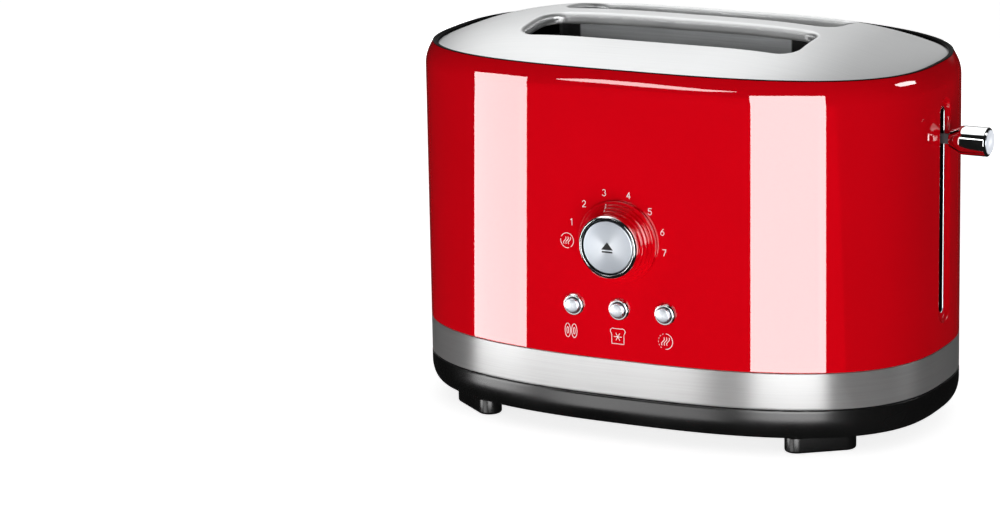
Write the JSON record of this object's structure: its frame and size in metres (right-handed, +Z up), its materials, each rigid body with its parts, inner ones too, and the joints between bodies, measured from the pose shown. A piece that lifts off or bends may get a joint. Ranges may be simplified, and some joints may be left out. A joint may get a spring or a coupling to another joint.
{
  "type": "two-slot toaster",
  "caption": "Free-standing two-slot toaster: oval gloss red shell, domed brushed steel top, sliding lever, browning dial, push buttons and pull-out crumb tray.",
  "frame": {"origin": "centre of the part's box at the height of the surface it stands on", "axes": "+X along the length to the lever end, +Y from the dial face to the back, +Z up"},
  "size_m": [0.3124, 0.1936, 0.2099],
  "materials": {
    "gloss_red": "deep gloss red enamel over steel",
    "black_trim": "black moulded trim, satin to gloss",
    "brushed_plate": "brushed stainless steel, fine grain along the length",
    "brushed_band": "brushed stainless steel band, grain round the body",
    "base_black": "black moulded plastic, soft gloss",
    "foot_rubber": "matt black rubber",
    "sheet_steel": "plain zinc-coated sheet steel",
    "steel_wire": "bright drawn steel wire and rod",
    "mica": "pale brown mica board with flat ribbon",
    "polished_chrome": "polished chrome",
    "brushed_cap": "fine brushed aluminium disc with a printed eject sign",
    "dark_moulding": "dark moulded plastic",
    "circuit_board": "green circuit board",
    "copper_winding": "enamelled copper winding"
  },
  "bodies": {
    "body": {"outer_shell": "gloss_red", "trim_ring": "black_trim", "top_plate": "brushed_plate", "steel_band": "brushed_band", "base_housing": "base_black", "foot_front_left": "foot_rubber", "foot_front_right": "foot_rubber", "foot_rear_left": "foot_rubber", "foot_rear_right": "foot_rubber", "chassis_plate_left": "sheet_steel", "chassis_plate_right": "sheet_steel", "chassis_top": "sheet_steel", "heat_shield_front": "sheet_steel", "heat_shield_rear": "sheet_steel", "latch_core": "sheet_steel", "guide_rod": "steel_wire", "return_spring": "steel_wire", "heater_front": "mica", "heater_centre": "mica", "heater_rear": "mica", "bezel_bagel": "polished_chrome", "bezel_defrost": "polished_chrome", "bezel_warm": "polished_chrome", "cord_gland": "dark_moulding", "dial_bush": "dark_moulding", "potentiometer": "dark_moulding", "switch_bagel": "dark_moulding", "switch_defrost": "dark_moulding", "switch_warm": "dark_moulding", "switch_eject": "dark_moulding", "control_frame": "dark_moulding", "power_relay": "dark_moulding", "filter_capacitor": "dark_moulding", "terminal_block": "dark_moulding", "control_board": "circuit_board", "power_board": "circuit_board", "latch_coil": "copper_winding", "transformer": "copper_winding"},
    "carriage": {"lifter_front": "sheet_steel", "lifter_rear": "sheet_steel", "carriage_bracket": "sheet_steel", "lever_arm": "sheet_steel", "lever_knob": "polished_chrome", "armature_plate": "sheet_steel"},
    "guard_front_outer": {"guard_front_outer": "steel_wire"},
    "guard_front_inner": {"guard_front_inner": "steel_wire"},
    "guard_rear_inner": {"guard_rear_inner": "steel_wire"},
    "guard_rear_outer": {"guard_rear_outer": "steel_wire"},
    "dial": {"browning_knob": "polished_chrome", "dial_shaft": "steel_wire"},
    "eject": {"eject_button": "brushed_cap"},
    "bagel": {"button_bagel": "polished_chrome"},
    "defrost": {"button_defrost": "polished_chrome"},
    "warm": {"button_warm": "polished_chrome"},
    "tray": {"crumb_tray": "sheet_steel", "crumb_tray_pull": "base_black"}
  },
  "joints": [
    {"name": "carriage_slide", "type": "slide", "parent": "body", "child": "carriage", "axis": [0, 0, 1], "range_m": [-0.0887, 0.012], "stiffness_N_per_m": 60, "springref_m": 0.02126, "deforming": ["return_spring"]},
    {"name": "guard_front_outer_lean", "type": "hinge", "parent": "body", "child": "guard_front_outer", "pos_m": [-0.0122, -0.03645, 0.0547], "axis": [1, 0, 0], "range_deg": [-3.71, 0.55]},
    {"name": "guard_front_inner_lean", "type": "hinge", "parent": "body", "child": "guard_front_inner", "pos_m": [-0.0122, -0.00395, 0.0547], "axis": [1, 0, 0], "range_deg": [-0.55, 3.71]},
    {"name": "guard_rear_inner_lean", "type": "hinge", "parent": "body", "child": "guard_rear_inner", "pos_m": [-0.0122, 0.01755, 0.0547], "axis": [1, 0, 0], "range_deg": [-3.71, 0.55]},
    {"name": "guard_rear_outer_lean", "type": "hinge", "parent": "body", "child": "guard_rear_outer", "pos_m": [-0.0122, 0.05005, 0.0547], "axis": [1, 0, 0], "range_deg": [-0.55, 3.71]},
    {"name": "browning_dial", "type": "hinge", "parent": "body", "child": "dial", "pos_m": [-0.0122, -0.0832, 0.1079], "axis": [0, 1, 0], "range_deg": [-84, 112]},
    {"name": "eject_press", "type": "slide", "parent": "body", "child": "eject", "axis": [0, 1, 0], "range_m": [0, 0.0025], "stiffness_N_per_m": 700, "springref_m": -0.001},
    {"name": "bagel_press", "type": "slide", "parent": "body", "child": "bagel", "axis": [0, 1, 0], "range_m": [0, 0.002], "stiffness_N_per_m": 600, "springref_m": -0.001},
    {"name": "defrost_press", "type": "slide", "parent": "body", "child": "defrost", "axis": [0, 1, 0], "range_m": [0, 0.002], "stiffness_N_per_m": 600, "springref_m": -0.001},
    {"name": "warm_press", "type": "slide", "parent": "body", "child": "warm", "axis": [0, 1, 0], "range_m": [0, 0.002], "stiffness_N_per_m": 600, "springref_m": -0.001},
    {"name": "crumb_tray_slide", "type": "slide", "parent": "body", "child": "tray", "axis": [0, 1, 0], "range_m": [0, 0.15]}
  ],
  "couplings": [
    {"joint": "guard_front_outer_lean", "follows": "carriage_slide", "rad_per_m": 0.72},
    {"joint": "guard_front_inner_lean", "follows": "carriage_slide", "rad_per_m": -0.72},
    {"joint": "guard_rear_inner_lean", "follows": "carriage_slide", "rad_per_m": 0.72},
    {"joint": "guard_rear_outer_lean", "follows": "carriage_slide", "rad_per_m": -0.72}
  ]
}
